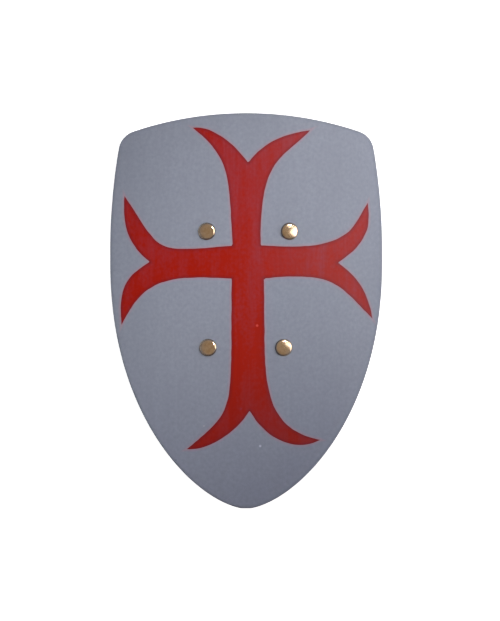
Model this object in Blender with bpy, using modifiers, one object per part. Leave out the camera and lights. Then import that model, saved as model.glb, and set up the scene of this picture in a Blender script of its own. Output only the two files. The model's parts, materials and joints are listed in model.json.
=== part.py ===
"""A child's knight shield: a bent plywood board with two leather arm loops held by four brass rivets.

The shield lies face up. +X is to its right, +Y towards its top edge and +Z out of its painted front.
All sizes are in metres. It rests on its two long side edges and on the underside of the loops at Z = 0.
"""

import math

import bmesh
import bpy
from mathutils import Matrix, Vector

# Board
BOARD_LENGTH = 0.3936
BOARD_WIDTH = 0.272
BOARD_THICKNESS = 0.005
FRONT_BEND_RADIUS = 0.250
TOP_ARC_RADIUS = 0.364
SHOULDER_RADIUS = 0.0215
UPPER_SIDE_RADIUS = 0.597
STRAIGHT_SIDE_FROM_TOP = 0.136
STRAIGHT_SIDE_LENGTH = 0.0135
TIP_FLAT_LENGTH = 0.010
FRONT_RIM_RADIUS = 0.0012

# The two long curves down to the tip follow a superellipse with these powers
WIDTH_POWER = 1.61
DEPTH_POWER = 2.106

# Rivet places: rows measured from the top edge, sideways places from the middle line
UPPER_ROW_FROM_TOP = 0.1177
ROW_SPACING = 0.1158
UPPER_LEFT_OUT = 0.0392
UPPER_RIGHT_OUT = 0.0431
LOWER_LEFT_OUT = 0.0379
LOWER_RIGHT_OUT = 0.0374

# Rivets
HEAD_DIAMETER = 0.0174
HEAD_HEIGHT = 0.0027
HEAD_EDGE_RADIUS = 0.0017
HEAD_CROWN_DROP = 0.0006
SHANK_DIAMETER = 0.005
TAIL_DIAMETER = 0.0125
TAIL_HEIGHT = 0.0014
TAIL_EDGE_RADIUS = 0.0008

# Arm loops
STRAP_WIDTH = 0.025
STRAP_THICKNESS = 0.0024
STRAP_TAB_END = 0.014
STRAP_TAB_REACH = 0.012
STRAP_LEG_RUN = 0.016
STRAP_TAB_BEND_RADIUS = 0.008
STRAP_CROWN_BEND_RADIUS = 0.014
STRAP_CORNER_RADIUS = 0.007

# Fits: what touches keeps this gap, and a rivet's hole is this much wider all round
TOUCH_GAP = 0.0003
HOLE_CLEARANCE = 0.0003

# Fineness of the curved faces
BEND_STRIP_ANGLE = math.radians(2.5)
TOP_ARC_STEPS = 12
SHOULDER_STEPS = 8
UPPER_SIDE_STEPS = 8
LOWER_SIDE_STEPS = 30
RIM_STEPS = 2
TURNED_STEPS = 20
CROWN_STEPS = 3
EDGE_STEPS = 4
STRAP_BEND_STEPS = 6
STRAP_STEP_LENGTH = 0.006
STRAP_CORNER_STEPS = 4
STRAP_CROSS_STEPS = 4


# Scene, collections and materials

def clear_scene():
    for old in list(bpy.data.objects):
        bpy.data.objects.remove(old, do_unlink=True)


def make_collection(name):
    collection = bpy.data.collections.new(name)
    bpy.context.scene.collection.children.link(collection)
    return collection


def make_material(name, colour, roughness, metallic):
    material = bpy.data.materials.new(name)
    material.use_nodes = True
    shader = material.node_tree.nodes["Principled BSDF"]
    shader.inputs["Base Color"].default_value = (*colour, 1.0)
    shader.inputs["Roughness"].default_value = roughness
    shader.inputs["Metallic"].default_value = metallic
    material.diffuse_color = (*colour, 1.0)
    return material


def object_from_bmesh(bm, name, collection, material=None):
    mesh = bpy.data.meshes.new(name)
    bm.to_mesh(mesh)
    bm.free()
    piece = bpy.data.objects.new(name, mesh)
    collection.objects.link(piece)
    if material:
        mesh.materials.append(material)
    return piece


def shade_round(piece, crease_angle):
    piece.data.shade_smooth()
    piece.data.set_sharp_from_angle(angle=crease_angle)


# The bend of the board: both faces are cylinders around one line along Y

BACK_BEND_RADIUS = FRONT_BEND_RADIUS - BOARD_THICKNESS
HALF_WIDTH = BOARD_WIDTH / 2
HALF_LENGTH = BOARD_LENGTH / 2
BEND_LINE_DEPTH = math.sqrt(BACK_BEND_RADIUS ** 2 - HALF_WIDTH ** 2)


def bent_height(x, depth):
    """Height above the floor of a point that lies depth below the painted front."""
    return math.sqrt((FRONT_BEND_RADIUS - depth) ** 2 - x ** 2) - BEND_LINE_DEPTH


def back_height(x):
    return bent_height(x, BOARD_THICKNESS)


# Board outline, seen from the front

def arc_points(centre, radius, start, end, steps):
    angles = [start + (end - start) * i / steps for i in range(steps + 1)]
    return [centre + radius * Vector((math.cos(a), math.sin(a))) for a in angles]


def angle_from(centre, point):
    return math.atan2(point.y - centre.y, point.x - centre.x)


def shoulder_centre(top_centre, side_centre):
    """Centre of the round that touches the top arc and the upper side arc from inside."""
    top_reach = TOP_ARC_RADIUS - SHOULDER_RADIUS
    side_reach = UPPER_SIDE_RADIUS - SHOULDER_RADIUS
    between = side_centre - top_centre
    span = between.length
    along = (top_reach ** 2 - side_reach ** 2 + span ** 2) / (2 * span)
    across = math.sqrt(top_reach ** 2 - along ** 2)
    direction = between.normalized()
    sideways = Vector((direction.y, -direction.x))
    choices = [top_centre + direction * along + sideways * across * side for side in (1, -1)]
    return max(choices, key=lambda point: point.x)


def lower_side_points(straight_end_y):
    """The long curve from the straight side down to the corner of the tip's flat."""
    last_angle = math.acos((TIP_FLAT_LENGTH / BOARD_WIDTH) ** (WIDTH_POWER / 2))
    reach = (straight_end_y + HALF_LENGTH) / math.sin(last_angle) ** (2 / DEPTH_POWER)
    points = []
    for i in range(LOWER_SIDE_STEPS + 1):
        angle = last_angle * i / LOWER_SIDE_STEPS
        x = HALF_WIDTH * math.cos(angle) ** (2 / WIDTH_POWER)
        y = straight_end_y - reach * math.sin(angle) ** (2 / DEPTH_POWER)
        points.append(Vector((x, y)))
    return points


def right_half_outline():
    """Points down the right side, from just right of the top's middle to the tip's corner."""
    straight_top_y = HALF_LENGTH - STRAIGHT_SIDE_FROM_TOP
    straight_end_y = straight_top_y - STRAIGHT_SIDE_LENGTH
    top_centre = Vector((0, HALF_LENGTH - TOP_ARC_RADIUS))
    side_centre = Vector((HALF_WIDTH - UPPER_SIDE_RADIUS, straight_top_y))
    round_centre = shoulder_centre(top_centre, side_centre)
    top_turn = angle_from(top_centre, round_centre)
    side_turn = angle_from(side_centre, round_centre)
    points = arc_points(top_centre, TOP_ARC_RADIUS, math.pi / 2, top_turn, TOP_ARC_STEPS)[1:]
    points += arc_points(round_centre, SHOULDER_RADIUS, top_turn, side_turn, SHOULDER_STEPS)[1:]
    points += arc_points(side_centre, UPPER_SIDE_RADIUS, side_turn, 0.0, UPPER_SIDE_STEPS)[1:]
    points += lower_side_points(straight_end_y)
    return points


def board_outline():
    right = right_half_outline()
    left = [Vector((-point.x, point.y)) for point in reversed(right)]
    return [Vector((0, HALF_LENGTH))] + right + left


# Board: a flat blank with an eased front rim, cut into strips across and bent

def build_board(collection, material, cutters):
    bm = bmesh.new()
    front = bm.faces.new([bm.verts.new((point.x, point.y, 0.0)) for point in board_outline()])
    blank = bmesh.ops.extrude_face_region(bm, geom=[front])
    front_verts = list(front.verts)
    back_verts = [item for item in blank["geom"] if isinstance(item, bmesh.types.BMVert)]
    bmesh.ops.translate(bm, verts=back_verts, vec=(0.0, 0.0, -BOARD_THICKNESS))
    bmesh.ops.recalc_face_normals(bm, faces=bm.faces)
    kept = set(front_verts)
    rim = [edge for edge in bm.edges if edge.verts[0] in kept and edge.verts[1] in kept]
    rim_radius = min(FRONT_RIM_RADIUS, BOARD_THICKNESS / 2)
    bmesh.ops.bevel(bm, geom=rim, offset=rim_radius, offset_type="OFFSET", segments=RIM_STEPS,
                    profile=0.5, affect="EDGES", material=-1, clamp_overlap=True)
    half_angle = math.asin(HALF_WIDTH / FRONT_BEND_RADIUS)
    half_strips = math.ceil(half_angle / BEND_STRIP_ANGLE)
    for i in range(1 - half_strips, half_strips):
        cut_x = FRONT_BEND_RADIUS * math.sin(half_angle * i / half_strips)
        everything = bm.verts[:] + bm.edges[:] + bm.faces[:]
        bmesh.ops.bisect_plane(bm, geom=everything, dist=1e-6, plane_co=(cut_x, 0, 0),
                               plane_no=(1, 0, 0))
    bmesh.ops.triangulate(bm, faces=bm.faces, quad_method="BEAUTY", ngon_method="BEAUTY")
    for vert in bm.verts:
        vert.co.z = bent_height(vert.co.x, -vert.co.z)
    board = object_from_bmesh(bm, "board", collection, material)
    add_cuts(board, cutters)
    shade_round(board, math.radians(30))
    return board


# Rivet axes: each stands square to the bent board

def rivet_places():
    upper_y = HALF_LENGTH - UPPER_ROW_FROM_TOP
    lower_y = upper_y - ROW_SPACING
    return {
        "rivet_upper_left": (-UPPER_LEFT_OUT, upper_y),
        "rivet_upper_right": (UPPER_RIGHT_OUT, upper_y),
        "rivet_lower_left": (-LOWER_LEFT_OUT, lower_y),
        "rivet_lower_right": (LOWER_RIGHT_OUT, lower_y),
    }


def rivet_frame(place):
    """Location on the painted front, and the turn that stands the rivet square to it."""
    x, y = place
    tilt = math.asin(x / FRONT_BEND_RADIUS)
    return Vector((x, y, bent_height(x, 0.0))), Matrix.Rotation(tilt, 4, "Y")


def point_on_axis(place, depth):
    location, turn = rivet_frame(place)
    return location + turn.to_3x3() @ Vector((0, 0, -depth))


def sag(radius, reach):
    """How far a round of this radius falls away at this distance from where it is touched."""
    return radius - math.sqrt(radius ** 2 - reach ** 2)


def stand_on_axis(piece, place):
    location, turn = rivet_frame(place)
    piece.matrix_world = Matrix.Translation(location) @ turn


def build_hole_cutters(collection):
    """One pin for each rivet, long enough to pass through the board and the strap."""
    reach = BOARD_THICKNESS + STRAP_THICKNESS + HEAD_DIAMETER
    cutters = {}
    for name, place in rivet_places().items():
        bm = bmesh.new()
        radius = SHANK_DIAMETER / 2 + HOLE_CLEARANCE
        bmesh.ops.create_cone(bm, cap_ends=True, segments=TURNED_STEPS, radius1=radius,
                              radius2=radius, depth=2 * reach)
        cutter = object_from_bmesh(bm, name + "_hole", collection)
        stand_on_axis(cutter, place)
        cutter.hide_render = True
        cutter.display_type = "WIRE"
        cutters[name] = cutter
    return cutters


def add_cuts(piece, cutters):
    for cutter in cutters:
        cut = piece.modifiers.new("rivet hole", "BOOLEAN")
        cut.operation = "DIFFERENCE"
        cut.solver = "EXACT"
        cut.object = cutter


# Rivets: a low domed head on the front, a shank, and a smaller cap pressed on behind the strap

def cap_profile(radius, height, edge_radius, crown_drop, up):
    """Half section of a low cap from its middle to its seat; up is 1 for a head, -1 for a tail."""
    shoulder_x = radius - edge_radius
    points = []
    for i in range(CROWN_STEPS):
        share = i / CROWN_STEPS
        points.append((shoulder_x * share, height - crown_drop * share ** 2))
    shoulder_y = height - crown_drop
    for i in range(EDGE_STEPS + 1):
        angle = math.pi / 2 * (1 - i / EDGE_STEPS)
        points.append((shoulder_x + edge_radius * math.cos(angle), shoulder_y * math.sin(angle)))
    return [(x, up * y) for x, y in points]


def build_rivet(name, place, collection, material):
    head_radius = HEAD_DIAMETER / 2
    tail_radius = TAIL_DIAMETER / 2
    shank_radius = SHANK_DIAMETER / 2
    head_seat = TOUCH_GAP
    strap_face = BOARD_THICKNESS + 2 * TOUCH_GAP + STRAP_THICKNESS
    tail_seat = -(strap_face + sag(BACK_BEND_RADIUS, tail_radius))
    head = cap_profile(head_radius, HEAD_HEIGHT, HEAD_EDGE_RADIUS, HEAD_CROWN_DROP, 1)
    tail = cap_profile(tail_radius, TAIL_HEIGHT, TAIL_EDGE_RADIUS, 0.0, -1)
    profile = [(x, head_seat + y) for x, y in head]
    profile += [(shank_radius, head_seat), (shank_radius, tail_seat)]
    profile += [(x, tail_seat + y) for x, y in reversed(tail)]
    bm = bmesh.new()
    verts = [bm.verts.new((x, 0.0, z)) for x, z in profile]
    for above, below in zip(verts, verts[1:]):
        bm.edges.new((above, below))
    rivet = object_from_bmesh(bm, name, collection, material)
    turning = rivet.modifiers.new("turned", "SCREW")
    turning.axis = "Z"
    turning.angle = math.tau
    turning.steps = TURNED_STEPS
    turning.render_steps = TURNED_STEPS
    turning.use_merge_vertices = True
    turning.merge_threshold = 0.00001
    stand_on_axis(rivet, place)
    return rivet


# Arm loops: a strap lies flat on the back under each rivet and hangs in a loop between them

def rounded_path(corners, radii):
    """Points along straight runs whose inner corners are rounded with the given radii."""
    points = [corners[0]]
    for before, corner, after, radius in zip(corners, corners[1:], corners[2:], radii):
        into = (corner - before).normalized()
        out = (after - corner).normalized()
        turn = into.angle_signed(out)
        side = 1 if turn < 0 else -1
        start = corner - into * radius * math.tan(abs(turn) / 2)
        centre = start + Vector((-into.y, into.x)) * radius * side
        spoke = start - centre
        for i in range(STRAP_BEND_STEPS + 1):
            step = side * abs(turn) * i / STRAP_BEND_STEPS
            points.append(centre + Matrix.Rotation(step, 2) @ spoke)
    points.append(corners[-1])
    return points


def split_long_runs(points):
    """Points no further apart than the strap's step length."""
    dense = [points[0]]
    for start, end in zip(points, points[1:]):
        parts = max(1, math.ceil((end - start).length / STRAP_STEP_LENGTH))
        dense += [start.lerp(end, i / parts) for i in range(1, parts + 1)]
    return dense


def corner_stations():
    """Distances from a strap's end at which its rounded corners are drawn, from the end inwards."""
    steps = [i / STRAP_CORNER_STEPS for i in range(STRAP_CORNER_STEPS)]
    return [STRAP_CORNER_RADIUS * (1 - math.cos(math.pi / 2 * step)) for step in steps]


def half_width_at(distance_to_end):
    corner = min(STRAP_CORNER_RADIUS, STRAP_WIDTH / 2)
    inside = corner - min(distance_to_end, corner)
    return STRAP_WIDTH / 2 - corner + math.sqrt(corner ** 2 - inside ** 2)


def strap_stations(lower, upper):
    """Middle line of the strap's inner face as (along Y, height), from its lower to its upper end."""
    face_depth = BOARD_THICKNESS + TOUCH_GAP
    lower_y = lower[1]
    upper_y = upper[1]
    lower_height = point_on_axis(lower, face_depth).z
    upper_height = point_on_axis(upper, face_depth).z
    reach = STRAP_TAB_REACH + STRAP_LEG_RUN
    corners = [
        Vector((lower_y - STRAP_TAB_END, lower_height)),
        Vector((lower_y + STRAP_TAB_REACH, lower_height)),
        Vector((lower_y + reach, STRAP_THICKNESS)),
        Vector((upper_y - reach, STRAP_THICKNESS)),
        Vector((upper_y - STRAP_TAB_REACH, upper_height)),
        Vector((upper_y + STRAP_TAB_END, upper_height)),
    ]
    radii = [STRAP_TAB_BEND_RADIUS, STRAP_CROWN_BEND_RADIUS, STRAP_CROWN_BEND_RADIUS,
             STRAP_TAB_BEND_RADIUS]
    path = rounded_path(corners, radii)
    first, last = path[0], path[-1]
    lower_end = [first + Vector((distance, 0)) for distance in corner_stations()]
    upper_end = [last - Vector((distance, 0)) for distance in reversed(corner_stations())]
    lower_end.append(first + Vector((STRAP_CORNER_RADIUS, 0)))
    upper_end.insert(0, last - Vector((STRAP_CORNER_RADIUS, 0)))
    middle = split_long_runs([lower_end[-1]] + path[1:-1] + [upper_end[0]])
    return lower_end + middle[1:-1] + upper_end


def build_strap(name, lower, upper, collection, material, cutters):
    stations = strap_stations(lower, upper)
    face_depth = BOARD_THICKNESS + TOUCH_GAP
    lower_x = point_on_axis(lower, face_depth).x
    upper_x = point_on_axis(upper, face_depth).x
    bm = bmesh.new()
    bmesh.ops.create_grid(bm, x_segments=STRAP_CROSS_STEPS, y_segments=len(stations) - 1, size=0.5)
    for vert in bm.verts:
        row = round((vert.co.y + 0.5) * (len(stations) - 1))
        station = stations[row]
        to_end = min(station.x - stations[0].x, stations[-1].x - station.x)
        across = 2 * vert.co.x * half_width_at(to_end)
        share = (station.x - lower[1]) / (upper[1] - lower[1])
        middle_x = lower_x + (upper_x - lower_x) * share
        tab_height = back_height(middle_x) - TOUCH_GAP
        pressed = (station.y - STRAP_THICKNESS) / (tab_height - STRAP_THICKNESS)
        arch = back_height(middle_x + across) - back_height(middle_x)
        vert.co = (middle_x + across, station.x, station.y + arch * min(max(pressed, 0.0), 1.0))
    strap = object_from_bmesh(bm, name, collection, material)
    wall = strap.modifiers.new("leather thickness", "SOLIDIFY")
    wall.thickness = STRAP_THICKNESS
    wall.offset = -1.0
    wall.use_even_offset = True
    wall.use_rim = True
    add_cuts(strap, cutters)
    shade_round(strap, math.radians(40))
    return strap


def build_shield():
    clear_scene()
    parts = make_collection("knight shield")
    cutting = make_collection("cutters")
    painted_wood = make_material("grey painted plywood", (0.266, 0.287, 0.347), 0.45, 0.0)
    leather = make_material("brown leather", (0.130, 0.058, 0.028), 0.65, 0.0)
    brass = make_material("polished brass", (0.700, 0.480, 0.230), 0.25, 1.0)
    places = rivet_places()
    cutters = build_hole_cutters(cutting)
    build_board(parts, painted_wood, cutters.values())
    for name, place in places.items():
        build_rivet(name, place, parts, brass)
    for side in ("left", "right"):
        lower = "rivet_lower_" + side
        upper = "rivet_upper_" + side
        build_strap("strap_" + side, places[lower], places[upper], parts, leather,
                    (cutters[lower], cutters[upper]))


build_shield()
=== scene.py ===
# %% [markdown]
# A child's knight shield
#
# The object is a toy: a sheet of plywood bent to a shallow curve, painted grey with a red forked
# cross, and held on the arm by two leather loops that four brass rivets fasten behind it. It lies face
# up, so the camera looks straight down on it. The frame is the CAD model of the same toy. Its
# plain solids give every size and place, and this script gives the fine shapes and the finishes.

# %% Load the frame
import json
import math

import bmesh
import bpy
import numpy as np
from mathutils import Matrix, Vector

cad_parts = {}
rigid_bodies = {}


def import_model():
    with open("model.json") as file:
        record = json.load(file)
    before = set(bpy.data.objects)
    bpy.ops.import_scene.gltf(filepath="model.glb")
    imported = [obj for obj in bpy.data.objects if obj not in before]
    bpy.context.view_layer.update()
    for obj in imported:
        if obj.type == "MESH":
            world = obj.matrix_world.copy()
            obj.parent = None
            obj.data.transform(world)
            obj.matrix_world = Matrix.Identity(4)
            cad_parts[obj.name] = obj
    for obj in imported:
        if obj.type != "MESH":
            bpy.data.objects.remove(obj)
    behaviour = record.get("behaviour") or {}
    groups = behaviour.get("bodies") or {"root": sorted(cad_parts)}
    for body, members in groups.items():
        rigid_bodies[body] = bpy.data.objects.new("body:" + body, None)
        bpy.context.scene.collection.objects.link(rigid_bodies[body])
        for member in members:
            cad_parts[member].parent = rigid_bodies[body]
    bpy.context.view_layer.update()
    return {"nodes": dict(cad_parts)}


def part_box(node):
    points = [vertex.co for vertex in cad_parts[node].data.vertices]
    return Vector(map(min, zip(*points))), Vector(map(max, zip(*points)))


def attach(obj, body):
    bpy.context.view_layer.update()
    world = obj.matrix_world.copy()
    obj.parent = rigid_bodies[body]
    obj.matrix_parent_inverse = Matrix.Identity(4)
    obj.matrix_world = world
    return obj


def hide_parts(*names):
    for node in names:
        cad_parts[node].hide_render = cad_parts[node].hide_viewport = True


for leftover in list(bpy.data.objects):
    bpy.data.objects.remove(leftover)

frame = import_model()
MM = 0.001
print("nodes:", ", ".join(sorted(frame["nodes"])))

# %% [markdown]
# How the board is bent
#
# Bent plywood is pressed between curved formers, so its two faces are parts of two cylinders around
# the same line. A Simple Deform modifier could bend a flat sheet, but it also makes the sheet
# narrower. Here one function gives the height of any point of the board from its sideways place
# and its depth below the painted face, so the width stays as measured, and every piece that
# touches the board uses the same function.

# %% The bend
BEND_RADIUS = 250 * MM
BOARD_THICKNESS = 5 * MM
board_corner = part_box("board")[1]
HALF_WIDTH = board_corner.x
HALF_LENGTH = board_corner.y
BACK_RADIUS = BEND_RADIUS - BOARD_THICKNESS
BEND_LINE_DEPTH = math.sqrt(BACK_RADIUS ** 2 - HALF_WIDTH ** 2)


def bent_height(x, depth):
    return math.sqrt((BEND_RADIUS - depth) ** 2 - x ** 2) - BEND_LINE_DEPTH


print("height of the painted face in the middle: %.1f mm" % (bent_height(0, 0) / MM))

# %% [markdown]
# The top edge
#
# A heater shield has a bowed top, rounded shoulders, and sides that start almost straight. It could be
# drawn as a curve object and filled. Seen from the front, though, the edge has just one height
# for each sideways place, so a function of x is enough, and a grid can follow it later without
# any cutting. Three arcs make it: the bow, the shoulder and the upper side.

# %% Top edge
TOP_ARC_RADIUS = 364 * MM
SHOULDER_RADIUS = 21.5 * MM
UPPER_SIDE_RADIUS = 597 * MM
STRAIGHT_TOP_Y = HALF_LENGTH - 136 * MM

top_centre = Vector((0, HALF_LENGTH - TOP_ARC_RADIUS))
side_centre = Vector((HALF_WIDTH - UPPER_SIDE_RADIUS, STRAIGHT_TOP_Y))


def shoulder_centre():
    """Where a round of the shoulder's radius touches the top arc and the side arc from inside."""
    top_reach = TOP_ARC_RADIUS - SHOULDER_RADIUS
    side_reach = UPPER_SIDE_RADIUS - SHOULDER_RADIUS
    between = side_centre - top_centre
    along = (top_reach ** 2 - side_reach ** 2 + between.length ** 2) / (2 * between.length)
    across = math.sqrt(top_reach ** 2 - along ** 2)
    direction = between.normalized()
    sideways = Vector((direction.y, -direction.x))
    return max((top_centre + direction * along + sideways * across * side for side in (1, -1)),
               key=lambda point: point.x)


round_centre = shoulder_centre()
round_start = top_centre + (round_centre - top_centre).normalized() * TOP_ARC_RADIUS
round_end = side_centre + (round_centre - side_centre).normalized() * UPPER_SIDE_RADIUS


def arc_height(centre, radius, x):
    return centre.y + math.sqrt(max(radius ** 2 - (x - centre.x) ** 2, 0.0))


def top_edge(x):
    x = min(abs(x), HALF_WIDTH)
    if x <= round_start.x:
        return arc_height(top_centre, TOP_ARC_RADIUS, x)
    if x <= round_end.x:
        return arc_height(round_centre, SHOULDER_RADIUS, x)
    return arc_height(side_centre, UPPER_SIDE_RADIUS, x)


print("shoulder from %.1f to %.1f mm" % (round_start.x / MM, round_end.x / MM))

# %% [markdown]
# The bottom edge
#
# Below a short straight stretch two long curves run down to the tip. Half an ellipse could stand for
# them, but it is too blunt at the tip. A superellipse has two powers of its own: the one for the
# width makes the tip more pointed, and the one for the depth sets how full the sides are. Both
# were chosen until the curve lay on the photographed edge.

# %% Bottom edge
STRAIGHT_END_Y = STRAIGHT_TOP_Y - 13.5 * MM
TIP_HALF_FLAT = 5 * MM
WIDTH_POWER = 1.61
DEPTH_POWER = 2.106


def depth_share(x):
    """How far down the curve is at this place, as a share of its whole reach."""
    return (1 - (x / HALF_WIDTH) ** WIDTH_POWER) ** (1 / DEPTH_POWER)


LOWER_REACH = (STRAIGHT_END_Y + HALF_LENGTH) / depth_share(TIP_HALF_FLAT)


def bottom_edge(x):
    x = min(abs(x), HALF_WIDTH)
    if x <= TIP_HALF_FLAT:
        return -HALF_LENGTH
    return STRAIGHT_END_Y - LOWER_REACH * depth_share(x)


print("board: %.0f x %.0f mm" % (2 * HALF_WIDTH / MM, 2 * HALF_LENGTH / MM))

# %% [markdown]
# The cross as two sets of masks
#
# The cross is paint, so it gives the board no thickness. A painter lays it out with masks: four big
# ones that cover the fields between the arms, and four small ones that cover the forks at the arms'
# ends. What no mask covers turns red. A picture of the cross could be wrapped on as a texture, but its
# edges would blur close up. Here each mask is an outline: a corner and two curved sides that end at
# the horns' tips. Each side is one Bezier curve between listed points.

# %% Mask outlines
# Places are in millimetres from the middle of the board
TIPS = {
    "top left": (-53.0, 182.2), "top right": (64.0, 180.2),
    "right up": (121.5, 107.7), "right down": (126.0, -7.8),
    "bottom right": (74.0, -128.8), "bottom left": (-59.0, -137.8),
    "left down": (-124.5, -14.3), "left up": (-121.5, 114.7),
}

# Each mask: its corner, two sides as (tip, first handle, last handle), and far points between them
FIELD_MASKS = (
    ((-13.5, 64.7), ("top left", (-18.0, 136.2), (-14.5, 150.7)),
     ("left up", (-93.5, 58.2), (-83.0, 56.2)), [(-400, 400)]),
    ((14.5, 65.2), ("top right", (13.0, 155.7), (37.5, 150.7)),
     ("right up", (109.0, 57.2), (106.5, 86.7)), [(400, 400)]),
    ((17.5, 32.2), ("right down", (89.0, 38.2), (89.0, 29.2)),
     ("bottom right", (21.0, -53.3), (6.5, -115.3)), [(400, -400)]),
    ((-14.5, 31.7), ("bottom left", (-16.0, -106.8), (-9.0, -95.3)),
     ("left down", (-83.5, 36.2), (-102.0, 30.2)), [(-400, -400)]),
)
FORK_MASKS = (
    ((2.0, 147.2), ("top left", (-6.0, 159.2), (-29.5, 184.7)),
     ("top right", (26.0, 181.7), (71.0, 178.7)), [(-400, 400), (400, 400)]),
    ((91.0, 47.7), ("right up", (126.0, 69.7), (123.5, 89.7)),
     ("right down", (106.5, 39.2), (122.5, 20.2)), [(400, 400), (400, -400)]),
    ((3.5, -99.8), ("bottom right", (16.5, -122.8), (44.0, -143.8)),
     ("bottom left", (-14.5, -128.3), (-47.0, -140.8)), [(400, -400), (-400, -400)]),
    ((-96.0, 48.7), ("left down", (-121.0, 34.7), (-128.5, 20.7)),
     ("left up", (-125.0, 69.7), (-123.0, 100.2)), [(-400, -400), (-400, 400)]),
)
print("masks: %d fields and %d forks" % (len(FIELD_MASKS), len(FORK_MASKS)))

# %% [markdown]
# From handles to outlines
#
# A cubic Bezier curve mixes its two ends and two handles by the weights below. Past the tip each side
# runs straight on, in the direction that it had over its last quarter, so that a field's mask and
# a fork's mask cross there and the horn between them ends in a point.

# %% Mask sides
CURVE_STEPS = 24
HEADING_STEP = CURVE_STEPS * 3 // 4
PAST_TIP = 100.0


def mask_side(corner, side):
    """One curved side from the mask's corner to a tip, run on straight past the tip."""
    tip_name, first_handle, last_handle = side
    corner, first_handle, last_handle, tip = (
        np.array(point, float) for point in (corner, first_handle, last_handle, TIPS[tip_name]))
    share = np.linspace(0, 1, CURVE_STEPS + 1)[:, None]
    curve = ((1 - share) ** 3 * corner + 3 * (1 - share) ** 2 * share * first_handle
             + 3 * (1 - share) * share ** 2 * last_handle + share ** 3 * tip)
    heading = tip - curve[HEADING_STEP]
    return np.vstack([curve, tip + heading / np.linalg.norm(heading) * PAST_TIP])


def mask_outline(mask):
    corner, first, second, far_points = mask
    return MM * np.vstack([mask_side(corner, first), far_points,
                           mask_side(corner, second)[::-1]])


print("points on the first mask:", len(mask_outline(FIELD_MASKS[0])))

# %% [markdown]
# Distance to a mask
#
# Every vertex of the painted face will store how far it is from the nearest field mask and from the
# nearest fork mask. The shader compares both with zero, so the painted edge stays sharp and its tips
# stay pointed, whatever the spacing of the grid is. The distance from a point to an outline is
# the smallest distance to any of its straight steps. A point is inside when a line drawn from
# it to one side crosses the outline an odd number of times. numpy does both for all points at once.

# %% Distances
# Keeps a step of no length from dividing by zero
LEAST_SQUARE = 1e-18


def distance_to_line(points, line):
    """Smallest distance from each point to a line of straight steps."""
    nearest = np.full(len(points), np.inf)
    for start, end in zip(line, line[1:]):
        step = end - start
        share = np.clip((points - start) @ step / max(step @ step, LEAST_SQUARE), 0, 1)
        nearest = np.minimum(nearest, np.linalg.norm(points - start - share[:, None] * step, axis=1))
    return nearest


def outside_distance(points, outline):
    """Distance to a closed outline: above zero outside it and below zero inside."""
    closed = np.vstack([outline, outline[:1]])
    inside = np.zeros(len(points), bool)
    for start, end in zip(closed, closed[1:]):
        if start[1] == end[1]:
            continue
        spans = (start[1] > points[:, 1]) != (end[1] > points[:, 1])
        slope = (end[0] - start[0]) / (end[1] - start[1])
        inside ^= spans & (points[:, 0] < start[0] + (points[:, 1] - start[1]) * slope)
    return np.where(inside, -1, 1) * distance_to_line(points, closed)


def distance_from_masks(points, masks):
    return np.min([outside_distance(points, mask_outline(mask)) for mask in masks], axis=0)


middle_of_cross = MM * np.array([[0.0, 48.0]])
print("middle of the cross to the nearest field: %.1f mm"
      % (distance_from_masks(middle_of_cross, FIELD_MASKS)[0] / MM))

# %% [markdown]
# The board's grid
#
# Sandpaper has rounded the board's rim over about a millimetre. A Bevel modifier could round it, but
# here the grid does it: each column is a straight line of the bent sheet from the bottom edge to the
# top edge, and columns and rows crowd together at the rim, where a later step rounds them off.

# %% Board grid
EDGE_STEPS = (0.0, 0.07, 0.26, 0.56, 1.0)
COLUMNS = 166
ROWS = 200
RIM_RADIUS = 1.2 * MM
RIM_ROWS = 2.6 * MM


def eased_spacing(length, parts, rim):
    """Places along a length: fine steps over the rim at both ends and even steps between."""
    ends = [share * rim for share in EDGE_STEPS]
    inner = length - 2 * rim
    middle = [rim + inner * i / parts for i in range(1, parts)]
    return ends + middle + [length - place for place in reversed(ends)]


def grid_border(grid):
    """The closed line around a grid of points."""
    return np.vstack([grid[:, 0], grid[-1, 1:], grid[::-1, -1][1:], grid[0, ::-1][1:]])


plan = []
for place in eased_spacing(2 * HALF_WIDTH, COLUMNS, RIM_RADIUS):
    x = place - HALF_WIDTH
    low, high = bottom_edge(x), top_edge(x)
    plan.append([(x, low + rise) for rise in eased_spacing(high - low, ROWS, RIM_ROWS)])
plan = np.array(plan)
print("board grid: %d x %d" % plan.shape[:2])

# %% [markdown]
# Sheets with eased rims
#
# The board and the leather straps are both sheets: two faces a thickness apart, whose edges are
# rounded off with sandpaper or an edge tool. A Solidify modifier gives a thickness, but with square
# edges. So one helper makes both: it starts from a plain grid, puts each vertex where the sheet's own
# function says, and copies the grid for the back face. Near an edge both faces fall away on a
# quarter circle. Each vertex also keeps named values for the materials, such as its distance
# to the edge.

# %% Sheet helper and the board's sheet
GRID_HALF = 0.5


def rim_drop(distance, radius):
    """How far a rounded rim falls away at this distance from the edge."""
    inside = radius - min(distance, radius)
    return radius - math.sqrt(radius ** 2 - inside ** 2)


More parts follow.
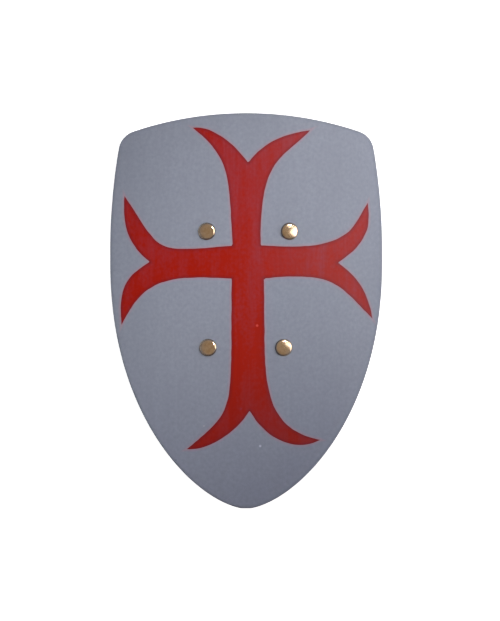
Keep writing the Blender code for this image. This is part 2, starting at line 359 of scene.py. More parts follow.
def sheet(place, values, thickness, rim):
    """A sheet with open edges. place(i, j, depth) gives a vertex; values are grids of numbers."""
    columns, rows = (count - 1 for count in values["rim_distance"].shape)
    bm = bmesh.new()
    layers = {name: bm.verts.layers.float.new(name) for name in values}
    bmesh.ops.create_grid(bm, x_segments=columns, y_segments=rows, size=GRID_HALF)
    indices = {vert: (round((vert.co.x + GRID_HALF) * columns), round((vert.co.y + GRID_HALF) * rows))
               for vert in bm.verts}
    copied = bmesh.ops.duplicate(bm, geom=bm.verts[:] + bm.edges[:] + bm.faces[:])
    for front, (i, j) in indices.items():
        drop = rim_drop(values["rim_distance"][i][j], rim)
        for vert, depth in ((front, drop), (copied["vert_map"][front], thickness - drop)):
            vert.co = place(i, j, depth)
            for name, layer in layers.items():
                vert[layer] = values[name][i][j]
    back_faces = [item for item in copied["geom"] if isinstance(item, bmesh.types.BMFace)]
    bmesh.ops.reverse_faces(bm, faces=back_faces)
    for face in back_faces:
        face.material_index = 1
    return bm


points_on_board = plan.reshape(-1, 2)
board_values = {
    "rim_distance": distance_to_line(points_on_board, grid_border(plan)),
    "from_fields": distance_from_masks(points_on_board, FIELD_MASKS),
    "from_forks": distance_from_masks(points_on_board, FORK_MASKS),
}
board_values = {name: values.reshape(plan.shape[:2]) for name, values in board_values.items()}


def board_place(i, j, depth):
    x, y = plan[i][j]
    return (x, y, bent_height(x, depth))


board_bm = sheet(board_place, board_values, BOARD_THICKNESS, RIM_RADIUS)
print("board sheet: %d faces" % len(board_bm.faces))

# %% [markdown]
# Where the rivets sit
#
# Four rivets hold the two loops, in an upper and a lower row. They were set by hand, so the two
# sides differ by a few millimetres. Empties could mark them, but a table of places is shorter, and
# one function gives the point on a rivet's axis at any depth. The axis stands square to the bend.

# %% Rivet places
UPPER_ROW_Y = HALF_LENGTH - 117.7 * MM
LOWER_ROW_Y = UPPER_ROW_Y - 115.8 * MM
RIVET_PLACES = {
    "rivet_upper_left": (-39.2 * MM, UPPER_ROW_Y),
    "rivet_upper_right": (43.1 * MM, UPPER_ROW_Y),
    "rivet_lower_left": (-37.9 * MM, LOWER_ROW_Y),
    "rivet_lower_right": (37.4 * MM, LOWER_ROW_Y),
}


def on_rivet_axis(place, depth):
    """The point on a rivet's axis at this depth below the painted face."""
    x, y = place
    tilt = math.asin(x / BEND_RADIUS)
    top = Vector((x, y, bent_height(x, 0)))
    return top - depth * Vector((math.sin(tilt), 0, math.cos(tilt)))


print("rivets:", ", ".join("%.0f, %.0f mm" % (x / MM, y / MM) for x, y in RIVET_PLACES.values()))

# %% [markdown]
# The rivet holes
#
# Each rivet has a hole drilled for it. A Boolean modifier would cut it and leave thin odd faces
# around it. Here the faces inside the hole are deleted from both sheets, and the open border is
# drawn onto a circle. Then front and back are bridged, and last the outer border too, which closes
# the board.

# %% Holes in the board
HOLE_RADIUS = 2.8 * MM
HOLE_SURROUND = 2.5 * HOLE_RADIUS


def open_hole(bm, place, depth, side):
    """Opens a round hole in one face of a sheet and returns its border edges."""
    centre = on_rivet_axis(place, depth)
    inside = [face for face in bm.faces if face.material_index == side
              and (face.calc_center_median() - centre).length < HOLE_RADIUS]
    bmesh.ops.delete(bm, geom=inside, context="FACES")
    border = [edge for edge in bm.edges if edge.is_boundary
              and edge.link_faces[0].material_index == side
              and (edge.verts[0].co - centre).length < HOLE_SURROUND]
    for vert in {vert for edge in border for vert in edge.verts}:
        spoke = Vector((vert.co.x - centre.x, vert.co.y - centre.y)).normalized() * HOLE_RADIUS
        vert.co = (centre.x + spoke.x, centre.y + spoke.y, vert.co.z)
    return border


def bridge_borders(bm, borders):
    """Walls between two open borders, in the first material."""
    walls = bmesh.ops.bridge_loops(bm, edges=borders)
    for face in walls["faces"]:
        face.material_index = 0


for place in RIVET_PLACES.values():
    hole = []
    for side, depth in enumerate((0.0, BOARD_THICKNESS)):
        border = open_hole(board_bm, place, depth, side)
        for vert in {vert for edge in border for vert in edge.verts}:
            vert.co.z = bent_height(vert.co.x, depth)
        hole += border
    bridge_borders(board_bm, hole)
bridge_borders(board_bm, [edge for edge in board_bm.edges if edge.is_boundary])
print("open edges left in the board:", sum(edge.is_boundary for edge in board_bm.edges))

# %% [markdown]
# Colours and nodes
#
# A material is a graph of nodes. Its colours are given as hex values, which are sRGB, and one function
# turns them into the linear numbers that a shader adds up. A second function adds a node with its
# settings and fills its inputs by name. What goes into an input is a number or a colour, or an output
# to link, or a node, whose first output in use is linked. Where two inputs have one name, the second
# goes by its identifier, such as Value_001.

# %% Colour and node helpers
def colour(hex_code):
    """Linear RGBA of an sRGB hex colour, by the curve of the sRGB standard."""
    channels = [int(hex_code[i:i + 2], 16) / 255 for i in (0, 2, 4)]
    linear = [c / 12.92 if c <= 0.04045 else ((c + 0.055) / 1.055) ** 2.4 for c in channels]
    return (*linear, 1.0)


def add_node(owner, kind, inputs=None, **settings):
    """Adds a node to a material or a world, with its settings and links."""
    tree = owner.node_tree
    node = tree.nodes.new(kind)
    for setting, value in settings.items():
        setattr(node, setting, value)
    for name, value in (inputs or {}).items():
        socket = next(s for s in node.inputs if s.enabled and name in (s.name, s.identifier))
        if isinstance(value, bpy.types.Node):
            value = next(output for output in value.outputs if output.enabled)
        if isinstance(value, bpy.types.NodeSocket):
            tree.links.new(value, socket)
        else:
            socket.default_value = value
    return node


print("mid grey in linear numbers:", [round(c, 3) for c in colour("808080")])

# %% [markdown]
# The painted face
#
# The board is sprayed with satin grey enamel, and the cross is brushed on in red enamel. Real paint is
# never one colour. It is thicker here and thinner there, darker along the edge, and patterned by the
# wood below; some shade and sheen are painted into it too. An image could hold all that. Noise needs
# no file and stays sharp at any size, so each material first collects what its finish can follow: the
# place on the piece, noise patterns whose features have a length along each axis, and the values that
# the mesh stores.

# %% Measures of the paint
def new_material(name):
    material = bpy.data.materials.new(name)
    material.use_nodes = True
    material.node_tree.nodes.clear()
    return material


def surface_measures(owner, patterns=None, stored=(), coordinates="Object"):
    """Named outputs: the place, its X, Y and Z, noise patterns and the mesh's stored values."""
    place = add_node(owner, "ShaderNodeTexCoord").outputs[coordinates]
    axes = add_node(owner, "ShaderNodeSeparateXYZ", {"Vector": place})
    measures = {"place": place, **{axis: axes.outputs[axis] for axis in "XYZ"}}
    for name, (size, detail, shift) in (patterns or {}).items():
        scale = [1 / (length * MM) for length in size]
        scaled = add_node(owner, "ShaderNodeMapping",
                          {"Vector": place, "Location": shift, "Scale": scale})
        measures[name] = add_node(owner, "ShaderNodeTexNoise",
                                  {"Vector": scaled, "Scale": 1.0, "Detail": detail})
    for name in stored:
        value = add_node(owner, "ShaderNodeAttribute", attribute_name=name)
        measures[name] = value.outputs["Fac"]
    return measures


# Each pattern: its feature size in millimetres along X, Y and Z, its detail and its shift.
# Birch grain is about 0.4 mm wide, which is too fine to show, so it is drawn 1.6 mm wide.
# Bands are the wood's growth rings, mottle the clouds of spray, strokes the brush's marks, and
# speckle is the orange peel of a sprayed film. Waver is the wander of a brush along a mask.
PAINT_PATTERNS = {
    "grain": ((1.6, 60.0, 60.0), 3.0, (0.0, 0.0, 0.0)),
    "bands": ((7.0, 160.0, 160.0), 2.0, (3.1, 0.4, 0.0)),
    "mottle": ((42.0, 55.0, 55.0), 3.0, (7.7, 1.9, 0.0)),
    "waver": ((12.0, 12.0, 12.0), 1.0, (1.3, 5.2, 0.0)),
    "strokes": ((13.0, 80.0, 80.0), 3.0, (0.9, 8.3, 0.0)),
    "speckle": ((3.2, 3.6, 3.6), 2.0, (4.4, 2.6, 0.0)),
}
paint = new_material("satin enamel on plywood")
on_board = surface_measures(paint, PAINT_PATTERNS, tuple(board_values))
print("measures of the paint:", ", ".join(on_board))

# %% [markdown]
# The edge of the red
#
# A brush wavers, so the edge of the cross wanders by a fifth of a millimetre, and it is never
# quite hard. The nearer of the two kinds of mask says how far a point is inside the red. Tables of
# rows do the shading from here on. A row follows one measure from a low value to a high one, and
# says what it is worth at both. Rows add up to one value.

# %% Into the red
WAVER = 0.2 * MM
SOFT_EDGE = 0.15 * MM


def graded(owner, measures, rows):
    """The sum of rows of (measure, low, high, value at low, value at high)."""
    total = 0.0
    for name, low, high, at_low, at_high in rows:
        part = add_node(owner, "ShaderNodeMapRange",
                        {"Value": measures[name], "From Min": low, "From Max": high,
                         "To Min": at_low, "To Max": at_high})
        total = add_node(owner, "ShaderNodeMath", {"Value": total, "Value_001": part},
                         operation="ADD")
    return total


nearest_mask = add_node(paint, "ShaderNodeMath",
                        {"Value": on_board["from_fields"], "Value_001": on_board["from_forks"]},
                        operation="MINIMUM")
wander = graded(paint, on_board, [("waver", 0.3, 0.7, -WAVER, WAVER)])
on_board["into_red"] = add_node(paint, "ShaderNodeMath",
                                {"Value": nearest_mask, "Value_001": wander}, operation="ADD")
on_board["redness"] = add_node(paint, "ShaderNodeMapRange",
                               {"Value": on_board["into_red"], "From Min": -SOFT_EDGE,
                                "From Max": SOFT_EDGE}, interpolation_type="SMOOTHSTEP")
print("the red's edge wanders by %.1f mm and is %.1f mm soft" % (WAVER / MM, 2 * SOFT_EDGE / MM))

# %% [markdown]
# Grey enamel
#
# Sprayed satin enamel is even from afar. Close up it has faint bands and streaks of the grain, soft
# clouds where the spray was thicker, and fine specks. It is darker in a band along the rim, and warmer
# where a little red has bled under a mask's edge. Towards the tip the grey is painted cooler, as
# painted shade. As a painter works in coats, a table lays each colour over those before it, stronger
# in some places than in others.

# %% Grey coats
def coats(owner, measures, base, rows):
    """Colours over a base, in rows of (colour, measure, low, high, cover at low, cover at high)."""
    for hex_code, *cover in rows:
        base = add_node(owner, "ShaderNodeMix",
                        {"Factor": graded(owner, measures, [cover]), "A": base,
                         "B": colour(hex_code)}, data_type="RGBA")
    return base


GREY_COATS = (
    ("9397a4", "bands", 0.30, 0.70, 0.00, 1.00),
    # painted shade: the grey turns cooler towards the tip
    ("8f93a7", "Y", -190 * MM, -40 * MM, 0.90, 0.00),
    ("848893", "grain", 0.35, 0.75, 0.00, 0.22),
    ("989caa", "mottle", 0.35, 0.65, 0.00, 0.35),
    ("868a97", "speckle", 0.25, 0.75, 0.00, 0.85),
    # darker in a band along the rim
    ("7f838e", "rim_distance", 1.2 * MM, 3.5 * MM, 0.45, 0.00),
    ("fa6055", "into_red", -2.6 * MM, -0.2 * MM, 0.00, 0.14),
)
grey = coats(paint, on_board, colour("8f93a0"), GREY_COATS)
print("grey: %d coats" % len(GREY_COATS))

# %% [markdown]
# Red enamel
#
# Red pigment covers badly. Where the brush left it thin, the grey below turns it to a dull rose, and
# where it is thick it is a deep warm red. It is thinner in the strokes. Towards the top and the right
# it is painted a paler rose, a painted sheen of the window, and towards the bottom a darker red, which
# is painted shade. Along a mask the brush leaves a thin dark edge.

# %% Red coats
THINNESS_AND_SHEEN = (
    ("strokes", 0.40, 0.60, -0.05, 0.45),
    ("speckle", 0.25, 0.75, -0.25, 0.35),
    # painted sheen: the red turns a paler rose towards the top
    ("Y", -20 * MM, 100 * MM, -0.15, 0.30),
    ("Y", -110 * MM, -50 * MM, 0.12, 0.00),
    # painted sheen: the red turns a paler rose towards the right, and deeper towards the left
    ("X", -50 * MM, 30 * MM, -0.15, 0.15),
)
RED_COATS = (
    ("9a3138", "thinness_and_sheen", 0.00, 1.00, 0.00, 1.00),
    ("8b1109", "grain", 0.35, 0.75, 0.00, 0.30),
    # painted shade: the red turns darker towards the bottom
    ("7d1410", "Y", -120 * MM, -50 * MM, 0.30, 0.00),
    ("681c26", "into_red", 0.4 * MM, 3.2 * MM, 0.62, 0.00),
)
on_board["thinness_and_sheen"] = graded(paint, on_board, THINNESS_AND_SHEEN)
red = coats(paint, on_board, colour("a31600"), RED_COATS)
painted = add_node(paint, "ShaderNodeMix", {"Factor": on_board["redness"], "A": grey, "B": red},
                   data_type="RGBA")
print("red: %d coats" % len(RED_COATS))

# %% [markdown]
# Nicks
#
# A toy that has been played with has a few nicks and drops in its paint. They could be dents in the
# mesh, but a nick through paint is only a tenth of a millimetre deep and shows by its colour. So
# each is one more coat, which covers a small spot around a point, seen from the front.

# %% Nicks
# Each nick: its place and radius in millimetres, colour and strength
NICKS = (
    ((13.9, -134.8), 1.2, "c6c6d8", 0.85),
    ((-42.1, -114.8), 1.0, "a6a9b5", 0.70),
    ((-70.1, -148.8), 0.9, "6c6f7a", 0.60),
    ((10.9, -14.8), 1.3, "d04a40", 0.85),
    ((-5.1, -97.8), 1.0, "8e2c3c", 0.80),
)
NICK_CORE = 0.6 * MM
NICK_EDGE = 1.3 * MM
FROM_THE_FRONT = (1.0, 1.0, 0.0)

seen_flat = add_node(paint, "ShaderNodeVectorMath",
                     {"Vector": on_board["place"], "Vector_001": FROM_THE_FRONT},
                     operation="MULTIPLY")
for (x, y), radius, hex_code, strength in NICKS:
    on_board["from_nick"] = add_node(paint, "ShaderNodeVectorMath",
                                     {"Vector": seen_flat, "Vector_001": (x * MM, y * MM, 0.0)},
                                     operation="DISTANCE")
    painted = coats(paint, on_board, painted, [
        (hex_code, "from_nick", NICK_CORE * radius, NICK_EDGE * radius, strength, 0.0)])
print("nicks:", len(NICKS))

# %% [markdown]
# Relief and gloss
#
# Enamel on sanded plywood isn't flat: the grain lifts it by a twentieth of a millimetre and the
# clouds of spray by a tenth. A relief that low only bends the light, so it is a bump in the
# shader and not a shape. Satin means a roughness of about 0.4, which turns the windows into one
# broad sheen. The red is hardly rougher than the grey.

# %% The paint's shader
def finish_material(material, measures, relief, bump_strength, inputs):
    """Ends a material with a fine relief in metres, the shader and its output."""
    bump = add_node(material, "ShaderNodeBump",
                    {"Height": graded(material, measures, relief), "Strength": bump_strength,
                     "Distance": 1.0})
    shader = add_node(material, "ShaderNodeBsdfPrincipled", {"Normal": bump, **inputs})
    add_node(material, "ShaderNodeOutputMaterial", {"Surface": shader})
    print("%s: %d nodes" % (material.name, len(material.node_tree.nodes)))


PAINT_RELIEF = (
    ("grain", 0.0, 1.0, 0.0, 0.05 * MM),
    ("mottle", 0.0, 1.0, 0.0, 0.10 * MM),
)
finish_material(paint, on_board, PAINT_RELIEF, bump_strength=0.6, inputs={
    "Base Color": painted,
    "Roughness": graded(paint, on_board, [("redness", 0.0, 1.0, 0.39, 0.40)]),
    "Specular IOR Level": graded(paint, on_board, [("redness", 0.0, 1.0, 0.17, 0.16)]),
})

# %% [markdown]
# Bare back
#
# The back of such a toy is left as bare birch veneer, peeled from the log and sanded: pale, matt and
# fine-grained. Its grain runs up and down, because plywood bends most easily across the grain of its
# outer veneers. Some grey overspray shows near the rim, broken up into dust. A photographed veneer
# would repeat its figure, and noise drawn long up and down never does. The fibres are drawn 0.9 mm
# wide, about three times their real width, so that they show.

# %% Veneer material
VENEER_PATTERNS = {
    "fibres": ((0.9, 70.0, 70.0), 4.0, (0.0, 0.0, 0.0)),
    "figure": ((14.0, 180.0, 180.0), 3.0, (2.2, 0.7, 0.0)),
    "dust": ((1.2, 1.2, 1.2), 5.0, (0.5, 0.5, 0.0)),
}
veneer = new_material("bare birch veneer")
on_back = surface_measures(veneer, VENEER_PATTERNS, ("rim_distance",))
on_back["overspray"] = graded(veneer, on_back, (
    ("rim_distance", 0.0, 7.0 * MM, 1.0, 0.0),
    ("dust", 0.3, 0.7, 0.0, -0.5),
))
bare_wood = coats(veneer, on_back, colour("c9a878"), (
    ("b98f5d", "figure", 0.35, 0.65, 0.0, 1.0),
    ("a57b4b", "fibres", 0.35, 0.70, 0.0, 0.45),
    ("8b9099", "overspray", 0.0, 0.6, 0.0, 1.0),
))
finish_material(veneer, on_back, [("fibres", 0.0, 1.0, 0.0, 0.12 * MM)], bump_strength=0.6, inputs={
    "Base Color": bare_wood,
    "Roughness": graded(veneer, on_back, [("fibres", 0.3, 0.7, 0.55, 0.70)]),
})

# %% [markdown]
# From bmesh to piece
#
# Every finished piece stands for one node of the frame. The recipe is always the same, so one function
# does it: normals outwards, smooth shading, materials in the order that the faces count them, then the
# node's own solid is hidden and the piece is attached to the frame's body.

# %% Finish a piece
def finish_piece(bm, name, node, materials):
    """Turns a bmesh into a smooth-shaded piece that stands for a CAD node."""
    bmesh.ops.recalc_face_normals(bm, faces=bm.faces)
    mesh = bpy.data.meshes.new(name)
    bm.to_mesh(mesh)
    bm.free()
    mesh.shade_smooth()
    for material in materials:
        mesh.materials.append(material)
    piece = bpy.data.objects.new(name, mesh)
    bpy.context.scene.collection.objects.link(piece)
    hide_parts(node)
    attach(piece, "root")
    print("%s: %d faces" % (name, len(mesh.polygons)))


finish_piece(board_bm, "board_painted", "board", (paint, veneer))

# %% [markdown]
# The arm loops
#
# Each loop is a strip of saddle leather 25 mm wide. It lies flat on the back of the board under both
# rivets, and bends down between them to leave room for an arm. A bevelled curve could make it,
# but its rivet tabs need the board's arch. So its middle line comes first: a chain of straight runs
# whose corners are rounded, because thick leather takes a bend as a round and not as a fold.

# %% Path of a strap
STRAP_WIDTH = 25 * MM
STRAP_THICKNESS = 2.4 * MM
TAB_END = 14 * MM
TAB_REACH = 12 * MM
LEG_RUN = 16 * MM
TAB_BEND = 8 * MM
CROWN_BEND = 14 * MM
BEND_STEPS = 12
TOUCH_GAP = 0.3 * MM
FACE_DEPTH = BOARD_THICKNESS + TOUCH_GAP


def rounded_path(corners, radii):
    """Points along straight runs whose inner corners are rounded with the given radii."""
    points = [corners[0]]
    for before, corner, after, radius in zip(corners, corners[1:], corners[2:], radii):
        into = (corner - before).normalized()
        turn = into.angle_signed((after - corner).normalized())
        side = 1 if turn < 0 else -1
        start = corner - into * radius * math.tan(abs(turn) / 2)
        centre = start + Vector((-into.y, into.x)) * radius * side
        spoke = start - centre
        points += [centre + Matrix.Rotation(side * abs(turn) * i / BEND_STEPS, 2) @ spoke
                   for i in range(BEND_STEPS + 1)]
    return points + [corners[-1]]


def strap_path(lower, upper):
    """The strap's inner face as (along Y, height), from its lower end to its upper end."""
    low_height, high_height = (on_rivet_axis(place, FACE_DEPTH).z for place in (lower, upper))
    low_y, high_y = lower[1], upper[1]
    corners = [Vector(point) for point in (
        (low_y - TAB_END, low_height), (low_y + TAB_REACH, low_height),
        (low_y + TAB_REACH + LEG_RUN, STRAP_THICKNESS),
        (high_y - TAB_REACH - LEG_RUN, STRAP_THICKNESS),
        (high_y - TAB_REACH, high_height), (high_y + TAB_END, high_height))]
    return rounded_path(corners, (TAB_BEND, CROWN_BEND, CROWN_BEND, TAB_BEND))


def path_length(path):
    return sum((end - start).length for start, end in zip(path, path[1:]))


left_path = strap_path(RIVET_PLACES["rivet_lower_left"], RIVET_PLACES["rivet_upper_left"])
print("strap path: %.0f mm" % (path_length(left_path) / MM))

# %% [markdown]
# A strap's flat shape
#
# Cut from the hide, a strap is a plain strip whose two ends have rounded corners, so the grid's
# columns close in towards each end. The same even and fine steps as on the board run along and
# across it, and the path above says where each step lies in space.

# %% Steps along a strap
TAB_CORNER = 7 * MM
STRAP_RIM = 0.7 * MM
STRAP_COLUMNS = 14
STRAP_ROWS = 84


def strap_half_width(distance_to_end):
    inside = TAB_CORNER - min(distance_to_end, TAB_CORNER)
    return STRAP_WIDTH / 2 - TAB_CORNER + math.sqrt(TAB_CORNER ** 2 - inside ** 2)


def flat_strap(length, places):
    """The strap's grid before it is bent: how far each point is off the middle and along."""
    halves = np.array([strap_half_width(min(place, length - place)) for place in places])
    across = np.array(eased_spacing(STRAP_WIDTH, STRAP_COLUMNS, STRAP_RIM)) / (STRAP_WIDTH / 2) - 1
    return np.stack([np.outer(across, halves), np.tile(places, (len(across), 1))], axis=2)


def resampled(path, places):
    """Points and downward normals of a path at the given distances from its start."""
    points = np.array([tuple(point) for point in path])
    travelled = np.concatenate([[0], np.cumsum(np.linalg.norm(np.diff(points, axis=0), axis=1))])
    found = np.stack([np.interp(places, travelled, points[:, k]) for k in (0, 1)], axis=1)
    slopes = np.gradient(found, axis=0)
    normals = np.stack([slopes[:, 1], -slopes[:, 0]], axis=1)
    return found, normals / np.linalg.norm(normals, axis=1)[:, None]


print("half width at the very end: %.1f mm" % (strap_half_width(0) / MM))

# %% [markdown]
# A strap in its place
#
# The strap runs from one rivet's sideways place to the other's. Where it is riveted down it takes the
# board's arch, and where it hangs free it is flat across. The sheet helper and the hole helper that
# made the board make the strap too.

# %% Strap sheets
def strap_bm(lower, upper):
    """One strap as a closed sheet between the two rivets at these places."""
    path = strap_path(lower, upper)
    length = path_length(path)
    places = np.array(eased_spacing(length, STRAP_ROWS, STRAP_RIM))
    points, normals = resampled(path, places)
    low_x, high_x = (on_rivet_axis(place, FACE_DEPTH).x for place in (lower, upper))
    middles = low_x + (high_x - low_x) * (points[:, 0] - lower[1]) / (upper[1] - lower[1])
    outline = flat_strap(length, places)
    distances = distance_to_line(outline.reshape(-1, 2), grid_border(outline))

    def place_vertex(i, j, depth):
        x = middles[j] + outline[i, j, 0]
        back_height = bent_height(middles[j], BOARD_THICKNESS)
        pressed = (points[j, 1] - STRAP_THICKNESS) / (back_height - TOUCH_GAP - STRAP_THICKNESS)
        arch = bent_height(x, BOARD_THICKNESS) - back_height
        y, z = points[j] + normals[j] * depth
        return (x, y, z + arch * min(max(pressed, 0.0), 1.0))

    bm = sheet(place_vertex, {"rim_distance": distances.reshape(outline.shape[:2])},
               STRAP_THICKNESS, STRAP_RIM)
    for place in (lower, upper):
        hole = []
        for side, depth in enumerate((FACE_DEPTH, FACE_DEPTH + STRAP_THICKNESS)):
            hole += open_hole(bm, place, depth, side)
        bridge_borders(bm, hole)
    bridge_borders(bm, [edge for edge in bm.edges if edge.is_boundary])
    return bm


loops = {side: strap_bm(RIVET_PLACES["rivet_lower_" + side], RIVET_PLACES["rivet_upper_" + side])
         for side in ("left", "right")}
print("strap sheets:", ", ".join("%s %d faces" % (side, len(bm.faces)) for side, bm in loops.items()))

# %% [markdown]
# Leather
#
# Saddle leather is cowhide tanned with bark and rolled smooth: a half-matt brown with a pebbled
# grain of about a millimetre, darker where an edge tool has rubbed its rim. Its inner side is the
# rough flesh side, paler and quite matt. Noise alone would look like stone, so Voronoi cells make
# the pebbles. The nap's hairs are far too fine to show and are drawn 0.6 mm wide.

# %% Leather materials
PEBBLE = 1.1 * MM
leather = new_material("brown saddle leather")
on_hide = surface_measures(leather, {"patches": ((12.0, 18.0, 12.0), 3.0, (0.0, 0.0, 0.0))},
                           ("rim_distance",))
on_hide["pebbles"] = add_node(leather, "ShaderNodeTexVoronoi",
                              {"Vector": on_hide["place"], "Scale": 1 / PEBBLE})
smooth_side = coats(leather, on_hide, colour("6a452e"), (
    ("573520", "patches", 0.35, 0.65, 0.0, 1.0),
    ("2e1a10", "rim_distance", 0.2 * MM, 1.6 * MM, 0.75, 0.0),
))
finish_material(leather, on_hide, [("pebbles", 0.0, 0.8, 0.0, 0.1 * MM)], bump_strength=0.5, inputs={
    "Base Color": smooth_side,
    "Roughness": graded(leather, on_hide, [("patches", 0.3, 0.7, 0.42, 0.56)]),
})

suede = new_material("rough side of the leather")
on_flesh = surface_measures(suede, {"nap": ((0.6, 0.6, 0.6), 4.0, (0.0, 0.0, 0.0))})
finish_material(suede, on_flesh, [("nap", 0.0, 1.0, 0.0, 0.15 * MM)], bump_strength=0.6, inputs={
    "Base Color": coats(suede, on_flesh, colour("84603f"), [("6d4b30", "nap", 0.3, 0.7, 0.0, 1.0)]),
    "Roughness": 0.9,
})

for side, bm in loops.items():
    finish_piece(bm, "loop_" + side, "strap_" + side, (suede, leather))

# %% [markdown]
# The rivets
#
# A rivet's head is a low cap that a press has raised from sheet brass: a shallow crown with a
# tight round at the shoulder. The shank passes through the board and the strap, and a smaller cap is
# pressed onto it behind. A scaled sphere would give the wrong shoulder, so the whole rivet is one
# half section, from the middle of the head to the middle of the tail.

# %% Rivet section
HEAD_RADIUS = 8.7 * MM
HEAD_HEIGHT = 2.6 * MM
HEAD_SHOULDER = 2.2 * MM
SHANK_RADIUS = 2.5 * MM
TAIL_RADIUS = 6.25 * MM
TAIL_HEIGHT = 1.4 * MM
TAIL_SHOULDER = 1.3 * MM
CROWN_RADIUS = 46.0 * MM
CROWN_STEPS = 8
SHOULDER_STEPS = 12

# The strap's face is hollow where it is riveted, so the tail's rim touches it first
seat_hollow = BACK_RADIUS - math.sqrt(BACK_RADIUS ** 2 - TAIL_RADIUS ** 2)
TAIL_SEAT = -(FACE_DEPTH + STRAP_THICKNESS + TOUCH_GAP + seat_hollow)


def crown_height(height, x):
    return height - x ** 2 / (2 * CROWN_RADIUS)


def cap_section(radius, height, shoulder):
    """Half section of a pressed cap from its middle to its seat: a low crown, then the shoulder."""
    flat = radius - shoulder
    places = [flat * i / CROWN_STEPS for i in range(CROWN_STEPS)]
    angles = [math.pi / 2 * i / SHOULDER_STEPS for i in range(SHOULDER_STEPS + 1)]
    drop = crown_height(height, radius)
    crown = [(x, crown_height(height, x)) for x in places]
    edge = [(flat + shoulder * math.sin(a), drop * (math.cos(a) - 1)) for a in angles]
    return crown + [(x, crown_height(height, x) + z) for x, z in edge]


def rivet_section():
    head = cap_section(HEAD_RADIUS, HEAD_HEIGHT, HEAD_SHOULDER)
    tail = cap_section(TAIL_RADIUS, TAIL_HEIGHT, TAIL_SHOULDER)
    return ([(x, TOUCH_GAP + z) for x, z in head]
            + [(SHANK_RADIUS, TOUCH_GAP), (SHANK_RADIUS, TAIL_SEAT)]
            + [(x, TAIL_SEAT - z) for x, z in reversed(tail)])


print("half section of a rivet: %d points" % len(rivet_section()))

# %% [markdown]
# Turned, and set square to the bend
#
# The half section is spun once round, as on a lathe. Its two ends lie on the axis, where the spin
# leaves many vertices in one place, so doubles are merged. Each vertex stores how far it stands off
# the cap's seat, so that the brass can be painted dark there as painted shade. Then the rivet is
# tilted with the board's bend.

# %% Rivet mesh
TURN_STEPS = 64
MERGE_DISTANCE = 0.002 * MM


def rivet_bm(place):
    bm = bmesh.new()
    verts = [bm.verts.new((x, 0.0, z)) for x, z in rivet_section()]
    edges = [bm.edges.new(pair) for pair in zip(verts, verts[1:])]
    bmesh.ops.spin(bm, geom=verts + edges, axis=(0, 0, 1), cent=(0, 0, 0), angle=math.tau,
                   steps=TURN_STEPS, use_merge=True, use_duplicate=False)
    bmesh.ops.remove_doubles(bm, verts=bm.verts, dist=MERGE_DISTANCE)
    above_seat = bm.verts.layers.float.new("above_seat")
    for vert in bm.verts:
        vert[above_seat] = max(vert.co.z - TOUCH_GAP, TAIL_SEAT - vert.co.z)
    x, y = place
    turn = Matrix.Rotation(math.asin(x / BEND_RADIUS), 4, "Y")
    bm.transform(Matrix.Translation((x, y, bent_height(x, 0))) @ turn)
    return bm


rivets = {name: rivet_bm(place) for name, place in RIVET_PLACES.items()}
print("rivets: %d of %d faces" % (len(rivets), len(rivets["rivet_upper_left"].faces)))

# %% [markdown]
# Brass
#
# The caps are pressed from sheet brass and polished, so they mirror the room in a warm tone. One plain
# colour would look like plastic. Handling has left hairlines, too fine to show and so drawn a quarter
# of a millimetre wide. Tarnish dulls the metal in spots. Around the seat the brass is painted dark
# brown: painted shade where the cap meets the board, and a painted dark reflection of the room.

# %% Brass material
BRASS_PATTERNS = {
    "hairlines": ((0.25, 6.0, 6.0), 3.0, (0.0, 0.0, 0.0)),
    "tarnish": ((3.0, 3.0, 3.0), 4.0, (0.0, 0.0, 0.0)),
}
brass = new_material("polished brass")
on_cap = surface_measures(brass, BRASS_PATTERNS, ("above_seat",))
polished = coats(brass, on_cap, colour("e9ceb0"), (
    ("dfbf9a", "tarnish", 0.40, 0.70, 0.0, 1.0),
    # painted shade and painted dark reflection: dark brown around the cap's seat
    ("624a3a", "above_seat", 0.5 * MM, 1.8 * MM, 0.90, 0.0),
))
finish_material(brass, on_cap, [("hairlines", 0.0, 1.0, 0.0, 0.01 * MM)], bump_strength=0.5, inputs={
    "Base Color": polished,
    "Metallic": 1.0,
    "Roughness": graded(brass, on_cap, [("tarnish", 0.35, 0.70, 0.13, 0.20)]),
})

for name, bm in rivets.items():
    finish_piece(bm, "brass_" + name, name, (brass,))

# %% [markdown]
# White ground
#
# The photograph is a shop picture on pure white. A floor that only reflects would turn grey away from
# the lights, so this one also glows, but only for the camera. Other rays see it almost
# without its glow, or else it would light the rivets' rims from below.

# %% Floor
FLOOR_HALF = 6.0
FLOOR_DROP = 0.2 * MM
GLOW_FOR_OTHER_RAYS = 0.05

paper = new_material("white paper")
seen = {"camera": add_node(paper, "ShaderNodeLightPath").outputs["Is Camera Ray"]}
paper_shader = add_node(paper, "ShaderNodeBsdfPrincipled", {
    "Base Color": colour("dddddd"), "Roughness": 0.9, "Emission Color": colour("ffffff"),
    "Emission Strength": graded(paper, seen, [("camera", 0.0, 1.0, GLOW_FOR_OTHER_RAYS, 1.0)]),
})
add_node(paper, "ShaderNodeOutputMaterial", {"Surface": paper_shader})

floor_mesh = bpy.data.meshes.new("floor")
floor_bm = bmesh.new()
bmesh.ops.create_grid(floor_bm, x_segments=1, y_segments=1, size=FLOOR_HALF)
floor_bm.to_mesh(floor_mesh)
floor_bm.free()
floor_mesh.materials.append(paper)
floor = bpy.data.objects.new("floor", floor_mesh)
floor.location.z = -FLOOR_DROP
bpy.context.scene.collection.objects.link(floor)
print("floor: %.0f m wide" % (2 * FLOOR_HALF))

# %% [markdown]
# The room
#
# Polished brass shows little but its surroundings. A panorama photo could be the world, but this
# script reads no picture, so a few coats of colour make a plain room: paler walls on the right,
# darker ones on the left and darkest at the foot of the picture, where a photographer stands, and
# a warm ceiling, which the middles of the rivets mirror.

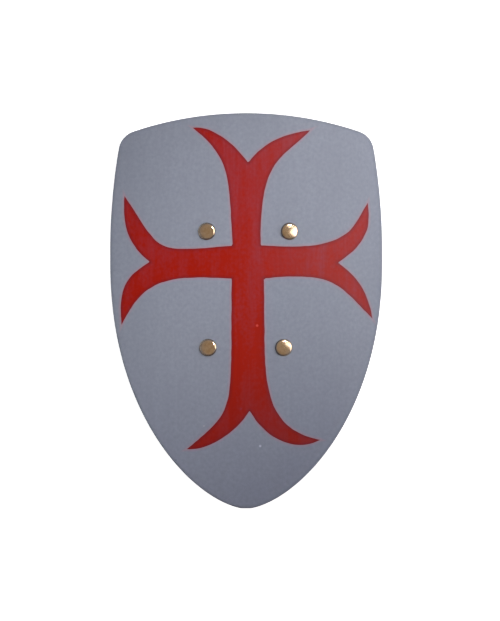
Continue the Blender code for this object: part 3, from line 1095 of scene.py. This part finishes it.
# %% World
ROOM_COATS = (
    ("969eb7", "X", -1.0, 1.0, 0.0, 1.0),
    ("383530", "Y", -0.85, -0.25, 0.75, 0.0),
    ("958a7c", "overhead", 0.0, 1.0, 0.0, 1.0),
)
world = bpy.data.worlds.new("room")
world.use_nodes = True
world.node_tree.nodes.clear()
around = surface_measures(world, coordinates="Generated")
around["overhead"] = add_node(world, "ShaderNodeMapRange",
                              {"Value": around["Z"], "From Min": 0.55, "From Max": 0.97},
                              interpolation_type="SMOOTHSTEP")
room = coats(world, around, colour("627188"), ROOM_COATS)
background = add_node(world, "ShaderNodeBackground", {"Color": room, "Strength": 1.0})
add_node(world, "ShaderNodeOutputWorld", {"Surface": background})
bpy.context.scene.world = world
print("room: %d coats" % len(ROOM_COATS))

# %% [markdown]
# Lights
#
# Soft daylight comes in low from the right, so the paint gets darker to the left and to the tip. A
# smaller window adds a sheen on the red and gives the rivets their white crescents; the colours of the
# paint also hold a painted sheen and painted shade. A panel high up, with a grid on it, fills in from
# the top right. A sun lamp would give none of their soft reflections, so all three are area lights.
# Their spread is the angle of the beam that a window's reveal or a grid lets out.

# %% Panels of light
# Each panel: place and aim in metres, side in metres, power in watts, beam in degrees, tint
PANELS = {
    "big window": ((1.26, 0.44, 0.51), (-0.152, 0.307, 0.03), 0.87, 3.74, 171, (0.98, 0.99, 1.0)),
    "right window": ((0.61, 0.12, 0.43), (0.328, 0.405, 0.03), 0.59, 1.80, 119, (1.0, 0.99, 0.96)),
    "gridded top panel": ((0.42, 0.57, 1.19), (-0.368, -0.021, 0.03), 0.31, 1.33, 33.4,
                          (1.0, 1.0, 0.98)),
}
for name, (location, aim, side, power, beam, tint) in PANELS.items():
    light = bpy.data.lights.new(name, "AREA")
    light.shape = "RECTANGLE"
    light.size = light.size_y = side
    light.energy = power
    light.spread = math.radians(beam)
    light.color = tint
    panel = bpy.data.objects.new(name, light)
    panel.location = location
    panel.rotation_euler = (Vector(location) - Vector(aim)).to_track_quat("Z", "Y").to_euler()
    bpy.context.scene.collection.objects.link(panel)
print("lights:", ", ".join(PANELS))

# %% [markdown]
# Camera
#
# The photograph looks straight down on the shield and shows no perspective. An orthographic camera
# would do, and so does a long lens 10 m up, which is nearer to how such pictures are taken. The lens
# makes each of the picture's 621 rows one millimetre high at the middle of the board's side edges.

# %% Camera and view
# The shield lies a little to the left of the picture's middle
CAMERA_PLACE = (3.8 * MM, 0.2 * MM, 10.0)
TRUE_SCALE_HEIGHT = 3 * MM
PICTURE_HEIGHT = 621 * MM
SENSOR_HEIGHT = 24.0

camera_data = bpy.data.cameras.new("camera")
camera_data.sensor_fit = "VERTICAL"
camera_data.sensor_height = SENSOR_HEIGHT
camera_data.lens = SENSOR_HEIGHT * (CAMERA_PLACE[2] - TRUE_SCALE_HEIGHT) / PICTURE_HEIGHT
camera = bpy.data.objects.new("camera", camera_data)
camera.location = CAMERA_PLACE
bpy.context.scene.collection.objects.link(camera)
bpy.context.scene.camera = camera
bpy.context.scene.view_settings.view_transform = "Standard"
print("camera height: %.1f m, lens %.1f mm" % (camera.location.z, camera_data.lens))
